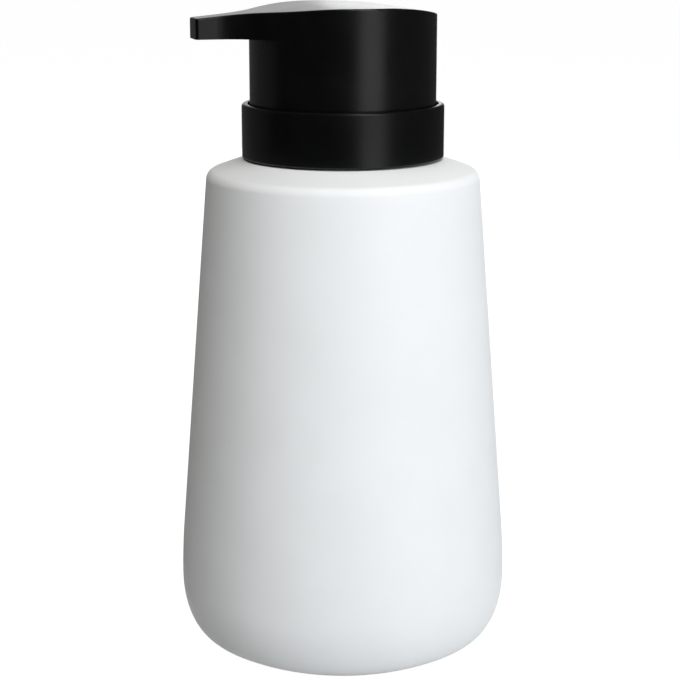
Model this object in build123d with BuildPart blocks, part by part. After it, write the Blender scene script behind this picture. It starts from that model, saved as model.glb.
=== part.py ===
"""Soap pump dispenser: a glazed ceramic bottle with a press-down pump under a wide cylindrical head.

Millimetres, +Z up. The origin is the centre of the bottle's foot, on the surface that it stands on.
The spout points along -X. Every sub-part is its own solid, written to parts/ under its node's name.
"""

from build123d import *

import os
from math import atan2, cos, degrees, radians, sin, tan

# ---------------------------------------------------------------- driving dimensions
# bottle, slip-cast ceramic
belly_radius = 40.4
corner_width = 7.0  # radial reach of the rounded bottom corner
corner_height = 14.4
foot_radius = 24.8
heel_slope = 24.0  # between the foot and the rounded corner
taper_start_height = 31.0  # above this the wall is a straight cone
taper_angle = 4.55
land_radius = 24.0  # flat ring that the collar stands over
land_height = 123.0
shoulder_slope = 19.5
shoulder_round = 5.0
bottle_wall = 4.5
bottle_floor = 5.4
inner_corner_round = 12.0
inner_shoulder_round = 8.0
foot_ring_width = 4.0
foot_recess = 1.0
mouth_radius = 15.6
mouth_edge_round = 0.6
counterbore_radius = 18.3
counterbore_depth = 2.0

# neck insert, glued into the mouth
seal_thickness = 0.9
insert_flange_gap = 0.2
insert_plug_length = 9.0
insert_plug_wall = 1.4
insert_plug_gap = 0.1
insert_web = 2.0
neck_height = 8.6  # above the land
neck_radius = 12.9
neck_bore_radius = 10.9
sealing_rib = 0.08
sealing_rib_height = 0.8

# pump engine
gasket_thickness = 1.0
gasket_radius = 13.2
housing_flange_radius = 13.4
housing_flange_thickness = 1.4
bore_radius = 6.8
barrel_wall = 1.2
barrel_depth = 43.0  # flange top to the floor of the bore
barrel_cone_height = 5.0
valve_cone_radius = 3.4
inlet_radius = 1.2
inlet_web = 1.4
tail_length = 11.4
tail_wall = 1.25
vent_radius = 0.6
vent_drop = 6.0
guide_flange_radius = 10.0
guide_flange_thickness = 1.2
guide_length = 10.0
stem_radius = 3.8
stem_bore_radius = 2.3
piston_height = 8.9
piston_waist_radius = 6.2
piston_lip_height = 1.0
piston_top_gap = 0.6
valve_flange_radius = 5.2
valve_flange_thickness = 1.7
valve_plug_length = 1.7
port_radius = 0.8
port_count = 4
spring_coil_radius = 5.3
spring_wire_radius = 0.45
spring_turns = 5.5
cage_base_thickness = 1.4
cage_outer_radius = 4.4
cage_inner_radius = 3.0
cage_height = 5.2
cage_roof = 1.0
cage_window_width = 2.6
cage_window_count = 3
cage_roof_hole_radius = 1.4
ball_radius = 2.4
tube_radius = 3.0
tube_wall = 0.8
tube_floor_gap = 2.6
tube_bevel_angle = 30.0
press_stroke = 9.0

# threaded closure and the collar round it
closure_wall = 1.95
closure_thread_radius = 14.05  # inside the closure, clear of the neck's thread
closure_foot_gap = 0.8
closure_web = 1.4
closure_edge = 0.6
collar_radius = 24.25
collar_wall = 1.4
collar_foot_gap = 0.4
collar_height = 12.8
collar_web = 1.2
collar_web_lift = 0.4
collar_sleeve_wall = 1.3
collar_sleeve_height = 9.2
collar_top_round = 0.8
collar_foot_round = 1.1
gusset_count = 8
gusset_thickness = 1.0
gusset_width = 2.4
gusset_height = 4.0

# head and spout
head_radius = 22.3
head_wall = 1.6
head_height = 24.5  # skirt's lower edge to the plateau on top
head_overlap = 1.4  # how far the skirt reaches into the collar at rest
head_roof = 3.0
plateau_front = 4.0  # from the axis towards the spout
plateau_back = 4.0
back_arc_radius = 73.0
front_arc_radius = 90.0
spout_slope = 5.5
spout_reach = 36.1
spout_half_width = 4.0
spout_straight = 5.0  # its parallel part, from the tip
spout_blend_angle = 140.0  # where the spout's side runs into the round of the head
spout_blend_crease = 2.0  # how far its direction there is off the round's tangent
spout_underside_drop = 7.45  # below the plateau
spout_ceiling_drop = 4.2
spout_tip_round = 0.7
head_edge_round = 0.5
floor_thickness = 0.8
channel_width = 4.0
channel_wall = 0.6
boss_radius = 5.6
boss_clearance = 0.7  # to the closure when the head is pressed home
stem_socket_depth = 6.9
wing_count = 4
wing_thickness = 1.2
wing_height = 3.9
outlet_inset = 4.8  # outlet's centre, in from the spout's tip
nozzle_radius = 1.5
nozzle_bore_radius = 0.9

# fits
press_gap = 0.05  # radial, between pieces pushed together
running_gap = 0.06  # radial, between a shaft and its hole
piston_gap = 0.05
flange_gap = 0.3
seat_gap = 0.2
ball_gap = 0.15

# ---------------------------------------------------------------- heights and radii that follow
taper = radians(taper_angle)
heel = radians(heel_slope)
heel_turn = atan2(corner_width * sin(heel), corner_height * cos(heel))  # along the corner's ellipse
heel_radius = belly_radius - corner_width * (1 - sin(heel_turn))
heel_height = (heel_radius - foot_radius) * tan(heel)
corner_centre_height = heel_height + corner_height * cos(heel_turn)
taper_arc_radius = (taper_start_height - corner_centre_height) / sin(taper)
taper_start_radius = belly_radius - taper_arc_radius * (1 - cos(taper))
counterbore_floor = land_height - counterbore_depth
ceiling_height = counterbore_floor - bottle_wall
neck_top = land_height + neck_height
insert_bottom = counterbore_floor - insert_plug_length
flange_bottom = neck_top + gasket_thickness
flange_top = flange_bottom + housing_flange_thickness
guide_top = flange_top + guide_flange_thickness
guide_bottom = flange_top - guide_length
bore_floor = flange_top - barrel_depth
inlet_top = bore_floor - (valve_cone_radius - inlet_radius)
socket_top = inlet_top - inlet_web
tail_bottom = socket_top - tail_length
tail_radius = tube_radius + press_gap + tail_wall
piston_top = guide_bottom - piston_top_gap
piston_bottom = piston_top - piston_height
stem_bottom = piston_bottom - seat_gap
valve_bottom = stem_bottom - valve_flange_thickness
spring_seat = bore_floor + cage_base_thickness
cage_top = bore_floor + cage_height
ball_height = inlet_top - inlet_radius + (ball_radius + ball_gap) / sin(radians(45))
closure_bottom = land_height + closure_foot_gap
closure_top = flange_top + closure_web
closure_radius = closure_thread_radius + closure_wall
collar_bottom = land_height + collar_foot_gap
collar_top = collar_bottom + collar_height
collar_web_bottom = collar_bottom + collar_web_lift
collar_inner_radius = collar_radius - collar_wall
sleeve_radius = closure_radius + press_gap + collar_sleeve_wall
skirt_bottom = collar_top - head_overlap
head_top = skirt_bottom + head_height
head_inner_radius = head_radius - head_wall
head_ceiling = head_top - head_roof
spout_underside = head_top - spout_underside_drop
spout_ceiling = head_top - spout_ceiling_drop
floor_top = spout_underside + floor_thickness
boss_bottom = closure_top + press_stroke + boss_clearance
stem_top = boss_bottom + stem_socket_depth
outlet_x = outlet_inset - spout_reach

os.makedirs("parts", exist_ok=True)
made = []


def shoulder_corner():
    """Where the wall's cone and the shoulder's cone would meet, before that corner is rounded."""
    run = 1 / tan(radians(shoulder_slope))
    height = (
        land_radius + land_height * run - taper_start_radius - taper_start_height * tan(taper)
    ) / (run - tan(taper))
    return (taper_start_radius - (height - taper_start_height) * tan(taper), height)


# ---------------------------------------------------------------- bottle
inner_wall_radius = taper_start_radius - bottle_wall
ceiling_radius = inner_wall_radius - (ceiling_height - taper_start_height) * tan(taper)
foot_ring_inner = foot_radius - foot_ring_width

with BuildPart() as bottle:
    with BuildSketch(Plane.XZ):
        with BuildLine():
            Polyline(
                (0, bottle_floor),
                (0, foot_recess),
                (foot_ring_inner, foot_recess),
                (foot_ring_inner + foot_recess, 0),
                (foot_radius, 0),
                (heel_radius, heel_height),
            )
            EllipticalCenterArc(
                (belly_radius - corner_width, corner_centre_height),
                corner_width,
                corner_height,
                start_angle=degrees(heel_turn) - 90,
                arc_size=90 - degrees(heel_turn),
            )
            TangentArc(
                (belly_radius, corner_centre_height),
                (taper_start_radius, taper_start_height),
                tangent=(0, 1),
            )
            FilletPolyline(
                (taper_start_radius, taper_start_height),
                shoulder_corner(),
                (land_radius, land_height),
                radius=shoulder_round,
            )
            Polyline(
                (land_radius, land_height),
                (counterbore_radius, land_height),
                (counterbore_radius, counterbore_floor),
                (mouth_radius, counterbore_floor),
                (mouth_radius, ceiling_height),
            )
            FilletPolyline(
                (mouth_radius, ceiling_height),
                (ceiling_radius, ceiling_height),
                (inner_wall_radius, taper_start_height),
                (belly_radius - bottle_wall, bottle_floor),
                (0, bottle_floor),
                radius=(inner_shoulder_round, inner_shoulder_round, inner_corner_round),
            )
        make_face()
    revolve(axis=Axis.Z)
    mouth_edge = bottle.edges().filter_by(GeomType.CIRCLE).group_by(Axis.Z)[-1].sort_by(SortBy.RADIUS)[0]
    fillet(mouth_edge, radius=mouth_edge_round)
bottle.part.label = "bottle"
made.append(bottle.part)

# ---------------------------------------------------------------- neck insert and its seal
with BuildPart() as insert_seal_ring:
    with BuildSketch(Plane.XY.offset(counterbore_floor)):
        Circle(counterbore_radius - insert_flange_gap)
        Circle(mouth_radius + insert_plug_gap, mode=Mode.SUBTRACT)
    extrude(amount=seal_thickness)
insert_seal_ring.part.label = "insert_seal_ring"
made.append(insert_seal_ring.part)

plug_radius = mouth_radius - insert_plug_gap
insert_ledge = counterbore_floor + seal_thickness

with BuildPart() as neck_insert:
    with BuildSketch(Plane.XZ):
        with BuildLine():
            Polyline(
                (neck_bore_radius, neck_top),
                (neck_radius, neck_top),
                (neck_radius, land_height),
                (counterbore_radius - insert_flange_gap, land_height),
                (counterbore_radius - insert_flange_gap, insert_ledge),
                (plug_radius, insert_ledge),
                (plug_radius, insert_bottom),
                (plug_radius - insert_plug_wall, insert_bottom),
                (plug_radius - insert_plug_wall, land_height - insert_web),
                (neck_bore_radius, land_height - insert_web),
                close=True,
            )
        make_face()
        for rib in (1, 2):
            with Locations((plug_radius, insert_bottom + rib * insert_plug_length / 3)):
                Rectangle(2 * sealing_rib, sealing_rib_height)
    revolve(axis=Axis.Z)
neck_insert.part.label = "neck_insert"
made.append(neck_insert.part)

# ---------------------------------------------------------------- pump housing, gasket, stem guide
with BuildPart() as housing_gasket:
    with BuildSketch(Plane.XY.offset(neck_top)):
        Circle(gasket_radius)
        Circle(bore_radius + barrel_wall + flange_gap, mode=Mode.SUBTRACT)
    extrude(amount=gasket_thickness)
housing_gasket.part.label = "housing_gasket"
made.append(housing_gasket.part)

barrel_radius = bore_radius + barrel_wall

with BuildPart() as pump_housing:
    with BuildSketch(Plane.XZ):
        with BuildLine():
            Polyline(
                (bore_radius, flange_top),
                (housing_flange_radius, flange_top),
                (housing_flange_radius, flange_bottom),
                (barrel_radius, flange_bottom),
                (barrel_radius, bore_floor),
                (tail_radius, bore_floor - barrel_cone_height),
                (tail_radius, tail_bottom),
                (tube_radius + press_gap, tail_bottom),
                (tube_radius + press_gap, socket_top),
                (inlet_radius, socket_top),
                (inlet_radius, inlet_top),
                (valve_cone_radius, bore_floor),
                (bore_radius, bore_floor),
                close=True,
            )
        make_face()
    revolve(axis=Axis.Z)
    with BuildSketch(Plane.YZ):
        with Locations((0, flange_bottom - vent_drop)):
            Circle(vent_radius)
    extrude(amount=barrel_radius + press_gap, mode=Mode.SUBTRACT)
pump_housing.part.label = "pump_housing"
made.append(pump_housing.part)

with BuildPart() as stem_guide:
    with BuildSketch(Plane.XY.offset(guide_bottom)):
        Circle(bore_radius - press_gap)
        Circle(stem_radius + running_gap, mode=Mode.SUBTRACT)
    extrude(amount=guide_length)
    with BuildSketch(Plane.XY.offset(flange_top)):
        Circle(guide_flange_radius)
        Circle(stem_radius + running_gap, mode=Mode.SUBTRACT)
    extrude(amount=guide_flange_thickness)
stem_guide.part.label = "stem_guide"
made.append(stem_guide.part)

# ---------------------------------------------------------------- inlet valve and dip tube
with BuildPart() as ball_cage:
    with BuildSketch(Plane.XZ):
        with BuildLine():
            Polyline(
                (cage_inner_radius, bore_floor),
                (bore_radius - press_gap, bore_floor),
                (bore_radius - press_gap, spring_seat),
                (cage_outer_radius, spring_seat),
                (cage_outer_radius, cage_top),
                (cage_roof_hole_radius, cage_top),
                (cage_roof_hole_radius, cage_top - cage_roof),
                (cage_inner_radius, cage_top - cage_roof),
                close=True,
            )
        make_face()
    revolve(axis=Axis.Z)
    with BuildSketch(Plane.XY.offset(spring_seat)):
        with PolarLocations(cage_outer_radius, cage_window_count):
            Rectangle(cage_outer_radius, cage_window_width)
    extrude(amount=cage_top - cage_roof - spring_seat, mode=Mode.SUBTRACT)
ball_cage.part.label = "ball_cage"
made.append(ball_cage.part)

with BuildPart() as inlet_ball:
    with Locations((0, 0, ball_height)):
        Sphere(ball_radius)
inlet_ball.part.label = "inlet_ball"
made.append(inlet_ball.part)

tube_bottom = bottle_floor + tube_floor_gap

with BuildPart() as dip_tube:
    with BuildSketch(Plane.XY.offset(tube_bottom)):
        Circle(tube_radius)
        Circle(tube_radius - tube_wall, mode=Mode.SUBTRACT)
    extrude(amount=socket_top - tube_bottom)
    split(
        bisect_by=Plane((-tube_radius, 0, tube_bottom)).rotated((0, tube_bevel_angle, 0)),
        keep=Keep.TOP,
    )
dip_tube.part.label = "dip_tube"
made.append(dip_tube.part)

# ---------------------------------------------------------------- return spring
spring_low = spring_seat + spring_wire_radius
spring_rise = valve_bottom - spring_seat - 2 * spring_wire_radius

with BuildPart() as return_spring:
    with BuildLine() as coil:
        Helix(
            pitch=spring_rise / spring_turns,
            height=spring_rise,
            radius=spring_coil_radius,
            center=(0, 0, spring_low),
        )
    with BuildSketch(coil.line ^ 0):
        RegularPolygon(spring_wire_radius, 6)
    sweep()
return_spring.part.label = "return_spring"
made.append(return_spring.part)

# ---------------------------------------------------------------- piston, stem and its valve plug
lip_radius = bore_radius - piston_gap

with BuildPart() as piston:
    with BuildSketch(Plane.XZ):
        with BuildLine():
            Polyline(
                (stem_radius + running_gap, piston_bottom),
                (lip_radius, piston_bottom),
                (lip_radius, piston_bottom + piston_lip_height),
                (piston_waist_radius, piston_bottom + 2 * piston_lip_height),
                (piston_waist_radius, piston_top - 2 * piston_lip_height),
                (lip_radius, piston_top - piston_lip_height),
                (lip_radius, piston_top),
                (stem_radius + running_gap, piston_top),
                close=True,
            )
        make_face()
    revolve(axis=Axis.Z)
piston.part.label = "piston"
made.append(piston.part)

port_height = stem_bottom + valve_plug_length + 1.5 * port_radius

with BuildPart() as stem:
    with BuildSketch(Plane.XY.offset(stem_bottom)):
        Circle(stem_radius)
        Circle(stem_bore_radius, mode=Mode.SUBTRACT)
    extrude(amount=stem_top - stem_bottom)
    with PolarLocations(0, port_count // 2, angular_range=180):
        with Locations((0, 0, port_height)):
            Cylinder(port_radius, 2 * stem_radius + 1, rotation=(0, 90, 0), mode=Mode.SUBTRACT)
stem.part.label = "stem"
made.append(stem.part)

with BuildPart() as stem_valve_plug:
    with BuildSketch(Plane.XY.offset(valve_bottom)):
        Circle(valve_flange_radius)
    extrude(amount=valve_flange_thickness)
    with BuildSketch(Plane.XY.offset(stem_bottom)):
        Circle(stem_bore_radius - press_gap)
    extrude(amount=valve_plug_length)
stem_valve_plug.part.label = "stem_valve_plug"
made.append(stem_valve_plug.part)

# ---------------------------------------------------------------- threaded closure and collar
with BuildPart() as threaded_closure:
    with BuildSketch(Plane.XY.offset(closure_bottom)):
        Circle(closure_radius)
        Circle(closure_thread_radius, mode=Mode.SUBTRACT)
    extrude(amount=flange_top - closure_bottom)
    with BuildSketch(Plane.XY.offset(flange_top)):
        Circle(closure_radius)
        Circle(guide_flange_radius + flange_gap, mode=Mode.SUBTRACT)
    extrude(amount=closure_web)
    rim = threaded_closure.edges().filter_by(GeomType.CIRCLE).group_by(Axis.Z)[-1].sort_by(SortBy.RADIUS)[-1]
    chamfer(rim, length=closure_edge)
threaded_closure.part.label = "threaded_closure"
made.append(threaded_closure.part)

web_top = collar_web_bottom + collar_web

with BuildPart() as collar_shell:
    with BuildSketch(Plane.XY.offset(collar_bottom)):
        Circle(collar_radius)
        Circle(collar_inner_radius, mode=Mode.SUBTRACT)
    extrude(amount=collar_height)
    with BuildSketch(Plane.XY.offset(collar_web_bottom)):
        Circle(collar_inner_radius)
        Circle(closure_radius + press_gap, mode=Mode.SUBTRACT)
    extrude(amount=collar_web)
    with BuildSketch(Plane.XY.offset(web_top)):
        Circle(sleeve_radius)
        Circle(closure_radius + press_gap, mode=Mode.SUBTRACT)
    extrude(amount=collar_sleeve_height - collar_web)
    with BuildSketch(Plane.XY.offset(web_top)):
        with PolarLocations(sleeve_radius + gusset_width / 2, gusset_count):
            Rectangle(gusset_width + 2 * press_gap, gusset_thickness)
        Circle(sleeve_radius - press_gap, mode=Mode.SUBTRACT)
    extrude(amount=gusset_height)
    outer_edges = collar_shell.edges().filter_by(GeomType.CIRCLE).filter_by(
        lambda edge: abs(edge.radius - collar_radius) < press_gap
    )
    fillet(outer_edges.sort_by(Axis.Z)[-1], radius=collar_top_round)
    fillet(outer_edges.sort_by(Axis.Z)[0], radius=collar_foot_round)
collar_shell.part.label = "collar_shell"
made.append(collar_shell.part)

# ---------------------------------------------------------------- head shell with spout
blend = radians(spout_blend_angle)
blend_heading = blend - radians(90 + spout_blend_crease)
slope = radians(spout_slope)
front_arc_end = (
    -plateau_front - front_arc_radius * sin(slope),
    head_top - front_arc_radius * (1 - cos(slope)),
)
front_end = (
    -spout_reach - head_wall,
    front_arc_end[1] - (spout_reach + head_wall + front_arc_end[0]) * tan(slope),
)
back_run = head_radius + head_wall - plateau_back
back_end = (
    plateau_back + back_run,
    head_top - back_arc_radius + (back_arc_radius**2 - back_run**2) ** 0.5,
)


def spout_plan(inset, tip_round):
    """Plan of the spout as far as the head's axis, with every side moved in by inset."""
    tip = -spout_reach + inset
    half = spout_half_width - inset
    root_radius = head_radius - inset
    root = (root_radius * cos(blend), root_radius * sin(blend))
    with BuildSketch(Plane.XY, mode=Mode.PRIVATE) as plan:
        with BuildLine():
            straight = Line((tip, half), (spout_straight - spout_reach, half))
            side = Spline(straight @ 1, root, tangents=((1, 0), (cos(blend_heading), sin(blend_heading))))
            mirror([straight, side], about=Plane.XZ)
            Line((tip, half), (tip, -half))
            Polyline(root, (0, 0), (root[0], -root[1]))
        make_face()
        fillet(plan.vertices().group_by(Axis.X)[0], radius=tip_round)
    return plan.sketch


with BuildPart() as head_shell:
    with BuildSketch(Plane.XY.offset(skirt_bottom)):
        Circle(head_radius)
    extrude(amount=head_height)
    with BuildSketch(Plane.XY.offset(spout_underside)):
        add(spout_plan(0, spout_tip_round))
    extrude(amount=spout_underside_drop)
    with BuildSketch(Plane.XZ):
        with BuildLine():
            Line(front_end, front_arc_end)
            TangentArc(front_arc_end, (-plateau_front, head_top), tangent=(cos(slope), sin(slope)))
            Line((-plateau_front, head_top), (plateau_back, head_top))
            TangentArc((plateau_back, head_top), back_end, tangent=(1, 0))
            Polyline(
                back_end,
                (back_end[0], head_top + head_wall),
                (front_end[0], head_top + head_wall),
                front_end,
            )
        make_face()
    extrude(amount=back_end[0], both=True, mode=Mode.SUBTRACT)
    top_edges = head_shell.faces().filter_by(lambda face: face.normal_at().Z > cos(radians(45))).edges()
    fillet(
        top_edges.filter_by(lambda edge: (edge @ 0.5).Y ** 2 + (edge @ 0.5).X ** 2 > spout_half_width**2),
        radius=head_edge_round,
    )
    with BuildSketch(Plane.XY.offset(skirt_bottom)):
        Circle(head_inner_radius)
    extrude(amount=head_ceiling - skirt_bottom, mode=Mode.SUBTRACT)
    with BuildSketch(Plane.XY.offset(spout_underside)):
        add(spout_plan(head_wall, press_gap))
    extrude(amount=spout_ceiling - spout_underside, mode=Mode.SUBTRACT)
head_shell.part.label = "head_shell"
made.append(head_shell.part)

# ---------------------------------------------------------------- spout floor, head core and outlet
with BuildPart() as spout_floor:
    with BuildSketch(Plane.XY.offset(spout_underside)):
        add(spout_plan(head_wall + press_gap, press_gap))
        Circle(head_inner_radius, mode=Mode.SUBTRACT)
        with Locations((outlet_x, 0)):
            Circle(nozzle_radius + press_gap, mode=Mode.SUBTRACT)
    extrude(amount=floor_thickness)
spout_floor.part.label = "spout_floor"
made.append(spout_floor.part)

channel_end = spout_reach - head_wall - press_gap

with BuildPart() as head_core:
    with BuildSketch(Plane.XY.offset(boss_bottom)):
        Circle(boss_radius)
    extrude(amount=head_ceiling - boss_bottom)
    with BuildSketch(Plane.XY.offset(floor_top)):
        with Locations((-channel_end, 0)):
            Rectangle(channel_end, channel_width, align=(Align.MIN, Align.CENTER))
    extrude(amount=spout_ceiling - floor_top)
    with BuildSketch(Plane.XY.offset(head_ceiling - wing_height)):
        with PolarLocations(0, wing_count, start_angle=45):
            Rectangle(head_inner_radius - press_gap, wing_thickness, align=(Align.MIN, Align.CENTER))
    extrude(amount=wing_height)
    with BuildSketch(Plane.XY.offset(boss_bottom)):
        Circle(stem_radius + press_gap)
    extrude(amount=stem_top - boss_bottom, mode=Mode.SUBTRACT)
    with BuildSketch(Plane.XY.offset(floor_top + channel_wall)):
        with Locations((channel_wall - channel_end, 0)):
            Rectangle(
                channel_end - channel_wall + stem_bore_radius,
                channel_width - 2 * channel_wall,
                align=(Align.MIN, Align.CENTER),
            )
    extrude(amount=spout_ceiling - floor_top - 2 * channel_wall, mode=Mode.SUBTRACT)
    with BuildSketch(Plane.XY.offset(stem_top)):
        Circle(stem_bore_radius)
    extrude(amount=floor_top + channel_wall - stem_top, mode=Mode.SUBTRACT)
    with BuildSketch(Plane.XY.offset(floor_top)):
        with Locations((outlet_x, 0)):
            Circle(nozzle_radius + press_gap)
    extrude(amount=channel_wall, mode=Mode.SUBTRACT)
head_core.part.label = "head_core"
made.append(head_core.part)

with BuildPart() as outlet_nozzle:
    with BuildSketch(Plane.XY.offset(spout_underside)):
        with Locations((outlet_x, 0)):
            Circle(nozzle_radius)
            Circle(nozzle_bore_radius, mode=Mode.SUBTRACT)
    extrude(amount=floor_thickness + channel_wall)
outlet_nozzle.part.label = "outlet_nozzle"
made.append(outlet_nozzle.part)

for piece in made:
    export_step(piece, os.path.join("parts", piece.label + ".step"))
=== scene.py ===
"""Soap pump dispenser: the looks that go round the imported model.

A white glazed stoneware bottle carries a black press-down pump: a low collar and a wide cylindrical
head whose thin spout points along -X. Sizes of pieces are in millimetres in the classes below and
turn into metres where a mesh is made. +Z is up and the bottle stands on Z = 0.
"""

import logging
import math
from dataclasses import dataclass, replace
from enum import Enum
from typing import Optional, Sequence

import bmesh
import bpy
from mathutils import Matrix, Vector


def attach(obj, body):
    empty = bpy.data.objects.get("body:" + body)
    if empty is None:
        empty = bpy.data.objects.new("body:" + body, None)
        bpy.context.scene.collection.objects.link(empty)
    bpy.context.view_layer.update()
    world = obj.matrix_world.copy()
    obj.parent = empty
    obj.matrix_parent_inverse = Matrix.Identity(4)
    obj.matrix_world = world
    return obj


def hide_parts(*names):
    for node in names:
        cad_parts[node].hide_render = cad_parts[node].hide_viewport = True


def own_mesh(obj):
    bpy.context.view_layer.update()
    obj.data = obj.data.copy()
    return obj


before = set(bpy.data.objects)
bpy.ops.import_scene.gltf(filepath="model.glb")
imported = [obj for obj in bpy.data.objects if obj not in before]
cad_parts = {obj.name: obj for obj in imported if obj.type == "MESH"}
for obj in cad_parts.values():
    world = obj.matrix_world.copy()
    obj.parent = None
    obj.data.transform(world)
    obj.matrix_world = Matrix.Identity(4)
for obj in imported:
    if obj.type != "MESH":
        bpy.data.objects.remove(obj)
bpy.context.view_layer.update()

MM = 0.001  # metres in a millimetre
TURN_STEPS = 256  # steps round the axis of a turned piece

Colour = tuple[float, float, float]  # linear red, green and blue
Triple = tuple[float, float, float]  # one number for each axis
Band = tuple[float, float]  # the part of a noise's range that a change is spread over
Spot = tuple[float, float]  # radius and height of a point on a turned outline
Corner = tuple[float, float, float]  # radius, height and rounding of an outline's corner

log = logging.getLogger("soap_pump")


class Body(Enum):
    """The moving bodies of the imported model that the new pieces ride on."""

    BOTTLE = "bottle_body"
    PUMP = "pump_body"
    COLLAR = "collar_body"


class Turn(Enum):
    """Which side of its wall a screw thread stands on."""

    OUTWARD = 1
    INWARD = -1


# ------------------------------------------------------------------------------------- materials
class NodeBench:
    """Lays out the shader nodes of one finish."""

    def __init__(self, name: str) -> None:
        """Start a material that holds a Principled shader and the piece's own coordinates.

        Args:
            name: name of the new material.
        """
        self.material = bpy.data.materials.new(name)
        self.material.use_nodes = True
        self.tree = self.material.node_tree
        self.shader = next(n for n in self.tree.nodes if n.type == "BSDF_PRINCIPLED")
        self.place = self.tree.nodes.new("ShaderNodeTexCoord").outputs["Object"]

    def add(self, kind: str, **settings: object) -> bpy.types.Node:
        """Add a node.

        Args:
            kind: Blender's type name of the node.
            settings: properties set on the node.

        Returns:
            The new node.
        """
        node = self.tree.nodes.new(kind)
        for key, value in settings.items():
            setattr(node, key, value)
        return node

    def join(self, source: bpy.types.NodeSocket, target: bpy.types.NodeSocket) -> None:
        """Link one socket to another."""
        self.tree.links.new(source, target)

    def noise(
        self, grain: float, detail: float = 2.0, stretch: Triple = (1, 1, 1)
    ) -> bpy.types.NodeSocket:
        """Give soft noise over the piece.

        Args:
            grain: size of one blotch, mm.
            detail: how many finer layers it carries.
            stretch: scale along each axis, for streaks.

        Returns:
            The noise's factor, 0 to 1.
        """
        scaled = self.add("ShaderNodeMapping")
        scaled.inputs["Scale"].default_value = stretch
        self.join(self.place, scaled.inputs["Vector"])
        node = self.add("ShaderNodeTexNoise")
        node.inputs["Scale"].default_value = 1 / (grain * MM)
        node.inputs["Detail"].default_value = detail
        self.join(scaled.outputs["Vector"], node.inputs["Vector"])
        return node.outputs["Fac"]

    def pits(self, spacing: float, share: float) -> bpy.types.NodeSocket:
        """Give scattered round pits: 0 at a pit's middle and 1 off the pits.

        Args:
            spacing: mean distance between pits, mm.
            share: pit radius as a share of the spacing.

        Returns:
            The height over the pits, 0 to 1.
        """
        node = self.add("ShaderNodeTexVoronoi", feature="F1")
        node.inputs["Scale"].default_value = 1 / (spacing * MM)
        self.join(self.place, node.inputs["Vector"])
        return self.span(node.outputs["Distance"], 0.0, share, 0.0, 1.0)

    def span(
        self, value: bpy.types.NodeSocket, start: float, end: float, low: float, high: float
    ) -> bpy.types.NodeSocket:
        """Map a value from one range to another, held at the ends.

        Args:
            value: the socket to map.
            start: input that gives low.
            end: input that gives high.
            low: output at start.
            high: output at end.

        Returns:
            The mapped value.
        """
        node = self.add("ShaderNodeMapRange", clamp=True)
        ends = (("From Min", start), ("From Max", end), ("To Min", low), ("To Max", high))
        for name, number in ends:
            node.inputs[name].default_value = number
        self.join(value, node.inputs["Value"])
        return node.outputs["Result"]

    def paint(
        self,
        source: bpy.types.NodeSocket,
        first: Colour,
        second: Colour,
        band: Optional[Band] = None,
    ) -> None:
        """Let the colour drift between two.

        Args:
            source: the noise that it follows.
            first: linear colour where the noise is low.
            second: linear colour where the noise is high.
            band: what the change is spread over; without one, the whole range.
        """
        share = self.span(source, *band, 0, 1) if band else source
        node = self.add("ShaderNodeMix", data_type="RGBA")
        node.inputs["A"].default_value = (*first, 1)
        node.inputs["B"].default_value = (*second, 1)
        self.join(share, node.inputs["Factor"])
        self.wire("Base Color", next(s for s in node.outputs if s.type == "RGBA"))

    def roughen(
        self, source: bpy.types.NodeSocket, smooth: float, dull: float, band: Band = (0.3, 0.7)
    ) -> None:
        """Let the roughness drift between two values.

        Args:
            source: the noise that it follows.
            smooth: roughness where the noise is low.
            dull: roughness where the noise is high.
            band: what the change is spread over.
        """
        self.wire("Roughness", self.span(source, *band, smooth, dull))

    def bump(
        self,
        height: bpy.types.NodeSocket,
        depth: float,
        under: Optional[bpy.types.NodeSocket] = None,
    ) -> bpy.types.NodeSocket:
        """Turn a height into a bumped normal.

        Args:
            height: 0 to 1 height.
            depth: what a height of 1 stands for, mm.
            under: a normal to build on.

        Returns:
            The normal.
        """
        node = self.add("ShaderNodeBump")
        node.inputs["Distance"].default_value = depth * MM
        self.join(height, node.inputs["Height"])
        if under is not None:
            self.join(under, node.inputs["Normal"])
        return node.outputs["Normal"]

    def fix(self, **values: object) -> None:
        """Set numbers or colours on the shader's own sockets, named with _ for each space."""
        for key, value in values.items():
            self.shader.inputs[key.replace("_", " ")].default_value = value

    def wire(self, name: str, source: bpy.types.NodeSocket) -> None:
        """Link a socket to one of the shader's inputs."""
        self.join(source, self.shader.inputs[name])


@dataclass(frozen=True)
class CeramicGlaze:
    """Matte white glaze over stoneware: soft mottling, faint orange peel and a few pinholes."""

    name: str = "white_matte_glaze"
    thick: Colour = (0.872, 0.874, 0.872)
    thin: Colour = (0.856, 0.857, 0.853)
    mottle_size: float = 14.0
    mottle_band: Band = (0.35, 0.65)
    smooth: float = 0.50
    dull: float = 0.62
    patch_size: float = 5.0
    ripple_size: float = 3.5
    ripple: float = 0.02
    grit_size: float = 0.35
    grit: float = 0.004
    pinhole_spacing: float = 9.0
    pinhole_share: float = 0.022
    pinhole_depth: float = 0.05

    def material(self) -> bpy.types.Material:
        """Build the glaze.

        Returns:
            The material.
        """
        bench = NodeBench(self.name)
        mottle = bench.noise(self.mottle_size, detail=3)
        bench.paint(mottle, self.thin, self.thick, self.mottle_band)
        bench.roughen(bench.noise(self.patch_size, detail=4), self.smooth, self.dull)
        peel = bench.bump(bench.noise(self.ripple_size, detail=1), self.ripple)
        grit = bench.bump(bench.noise(self.grit_size), self.grit, peel)
        pinholes = bench.pits(self.pinhole_spacing, self.pinhole_share)
        bench.wire("Normal", bench.bump(pinholes, self.pinhole_depth, grit))
        bench.fix(IOR=1.5, Specular_IOR_Level=0.35)
        return bench.material


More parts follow.
